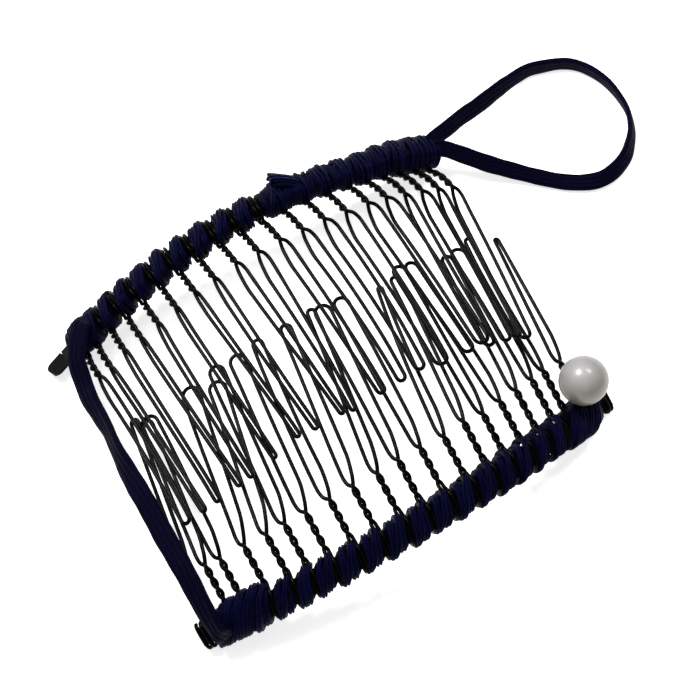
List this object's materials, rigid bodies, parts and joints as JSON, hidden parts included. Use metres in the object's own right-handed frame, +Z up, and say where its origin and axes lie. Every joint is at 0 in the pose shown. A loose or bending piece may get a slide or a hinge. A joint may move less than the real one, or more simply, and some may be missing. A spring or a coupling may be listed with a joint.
{
  "type": "elastic-hinged hair clip",
  "caption": "Banana hair clip: two arched wire combs bound with navy cord, a flat elastic hinge, an elastic loop and a pearl to fasten it.",
  "frame": {"origin": "middle of the two combs' box, elastics left out, on the surface that the clip lies on", "axes": "+X along the two combs towards the closing loop, +Y from the lower comb to the upper one, +Z up"},
  "size_m": [0.139, 0.0836, 0.0202],
  "materials": {
    "comb_wire": "black satin lacquer",
    "strip_metal": "black satin lacquer",
    "binding_cord": "navy satin cord",
    "elastic": "navy ribbed elastic",
    "pearl": "pearl lustre"
  },
  "bodies": {
    "root": {"upper_tooth_01": "comb_wire", "upper_tooth_02": "comb_wire", "upper_tooth_03": "comb_wire", "upper_tooth_04": "comb_wire", "upper_tooth_05": "comb_wire", "upper_tooth_06": "comb_wire", "upper_tooth_07": "comb_wire", "upper_tooth_08": "comb_wire", "upper_tooth_09": "comb_wire", "upper_tooth_10": "comb_wire", "upper_tooth_11": "comb_wire", "upper_tooth_12": "comb_wire", "upper_tooth_13": "comb_wire", "upper_tooth_14": "comb_wire", "upper_tooth_15": "comb_wire", "upper_tooth_16": "comb_wire", "upper_tooth_17": "comb_wire", "upper_tooth_18": "comb_wire", "upper_tooth_19": "comb_wire", "upper_tooth_20": "comb_wire", "lower_tooth_01": "comb_wire", "lower_tooth_02": "comb_wire", "lower_tooth_03": "comb_wire", "lower_tooth_04": "comb_wire", "lower_tooth_05": "comb_wire", "lower_tooth_06": "comb_wire", "lower_tooth_07": "comb_wire", "lower_tooth_08": "comb_wire", "lower_tooth_09": "comb_wire", "lower_tooth_10": "comb_wire", "lower_tooth_11": "comb_wire", "lower_tooth_12": "comb_wire", "lower_tooth_13": "comb_wire", "lower_tooth_14": "comb_wire", "lower_tooth_15": "comb_wire", "lower_tooth_16": "comb_wire", "lower_tooth_17": "comb_wire", "lower_tooth_18": "comb_wire", "lower_tooth_19": "comb_wire", "lower_tooth_20": "comb_wire", "upper_strip": "strip_metal", "lower_strip": "strip_metal", "upper_wrap": "binding_cord", "lower_wrap": "binding_cord", "cord_knot": "binding_cord", "left_coil": "comb_wire", "right_coil": "comb_wire", "pearl": "pearl", "pearl_thread": "binding_cord", "hinge_band": "elastic", "closing_loop": "elastic"}
  },
  "joints": []
}
